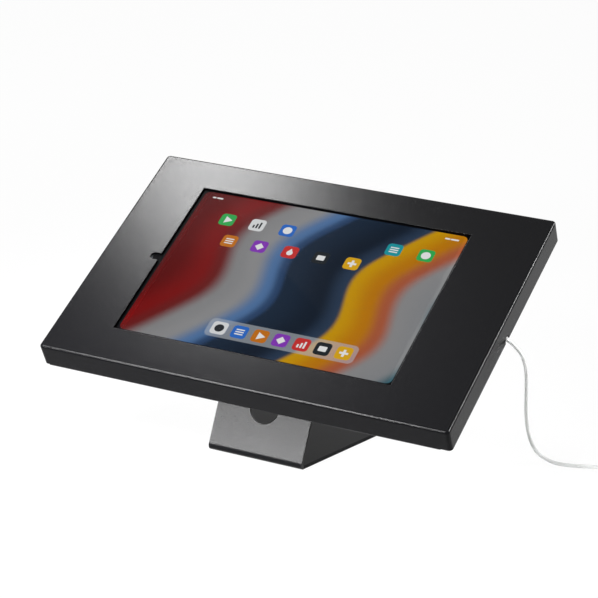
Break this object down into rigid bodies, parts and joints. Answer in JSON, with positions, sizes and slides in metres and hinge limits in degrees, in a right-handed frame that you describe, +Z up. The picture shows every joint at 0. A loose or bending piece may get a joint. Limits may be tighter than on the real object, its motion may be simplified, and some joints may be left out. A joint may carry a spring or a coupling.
{
  "type": "tablet security kiosk stand",
  "caption": "Desk stand of one bent steel sheet that carries a tilted, lockable steel case round a tablet, with a camera notch, a hinged cover and a charging cable.",
  "frame": {"origin": "on the table, under the middle of the stand's outline without the free cable", "axes": "+X to the viewer's right along the case's long side, +Y to the back, +Z up"},
  "size_m": [0.4866, 0.213, 0.1622],
  "materials": {
    "black_screw": "black oxide",
    "brass_key": "nickel plated",
    "chrome_lock": "bright",
    "cord_white": "smooth white sheath",
    "display": "lit panel",
    "foam": "closed-cell foam",
    "holder_plastic": "fine grain",
    "lens": "polished",
    "painted_steel": "satin black powder coat with a fine texture",
    "plug_metal": "nickel",
    "plug_plastic": "smooth white",
    "rubber": "matt",
    "tablet_glass": "polished",
    "tablet_shell": "bead blasted and anodised",
    "tie_fabric": "hook and loop",
    "zinc_steel": "bright zinc plate"
  },
  "bodies": {
    "stand": {"back_pads": "rubber", "bracket_screws": "black_screw", "bracket_washers": "zinc_steel", "cable_coil": "cord_white", "cable_tail": "cord_white", "cable_tie": "tie_fabric", "charge_plug_body": "plug_plastic", "charge_plug_shell": "plug_metal", "charging_cable": "cord_white", "clinch_nuts": "zinc_steel", "corner_holder_front_left": "holder_plastic", "corner_holder_front_right": "holder_plastic", "corner_holder_rear_left": "holder_plastic", "corner_holder_rear_right": "holder_plastic", "holder_screws": "black_screw", "lock_body": "chrome_lock", "lock_nut": "zinc_steel", "rear_tray": "painted_steel", "stand_bracket": "painted_steel", "stand_feet": "rubber", "tablet_body": "tablet_shell", "tablet_camera": "lens", "tablet_display": "display", "tablet_glass": "tablet_glass", "usb_plug_body": "plug_plastic", "usb_plug_shell": "plug_metal"},
    "cover": {"front_cover": "painted_steel", "cover_strike": "painted_steel", "window_gasket": "foam"},
    "lock_core": {"lock_plug": "chrome_lock", "lock_cam": "zinc_steel", "cam_screw": "black_screw"},
    "key": {"lock_key": "brass_key"},
    "power": {"power_button": "tablet_shell"},
    "volume_up": {"volume_up_button": "tablet_shell"},
    "volume_down": {"volume_down_button": "tablet_shell"}
  },
  "joints": [
    {"name": "cover_hinge", "type": "hinge", "parent": "stand", "child": "cover", "pos_m": [0, -0.09395, 0.05955], "axis": [1, 0, 0], "range_deg": [0, 75]},
    {"name": "lock_turn", "type": "hinge", "parent": "stand", "child": "lock_core", "pos_m": [0, 0.09383, 0.13926], "axis": [0, -0.3907, 0.9205], "range_deg": [0, 90]},
    {"name": "key_pull", "type": "slide", "parent": "lock_core", "child": "key", "axis": [0, 0.3907, -0.9205], "range_m": [0, 0.016]},
    {"name": "power_press", "type": "slide", "parent": "stand", "child": "power", "axis": [1, 0, 0], "range_m": [0, 0.0003], "stiffness_N_per_m": 800, "springref_m": -0.0005},
    {"name": "volume_up_press", "type": "slide", "parent": "stand", "child": "volume_up", "axis": [0, -0.9205, -0.3907], "range_m": [0, 0.0003], "stiffness_N_per_m": 800, "springref_m": -0.0005},
    {"name": "volume_down_press", "type": "slide", "parent": "stand", "child": "volume_down", "axis": [0, -0.9205, -0.3907], "range_m": [0, 0.0003], "stiffness_N_per_m": 800, "springref_m": -0.0005}
  ]
}
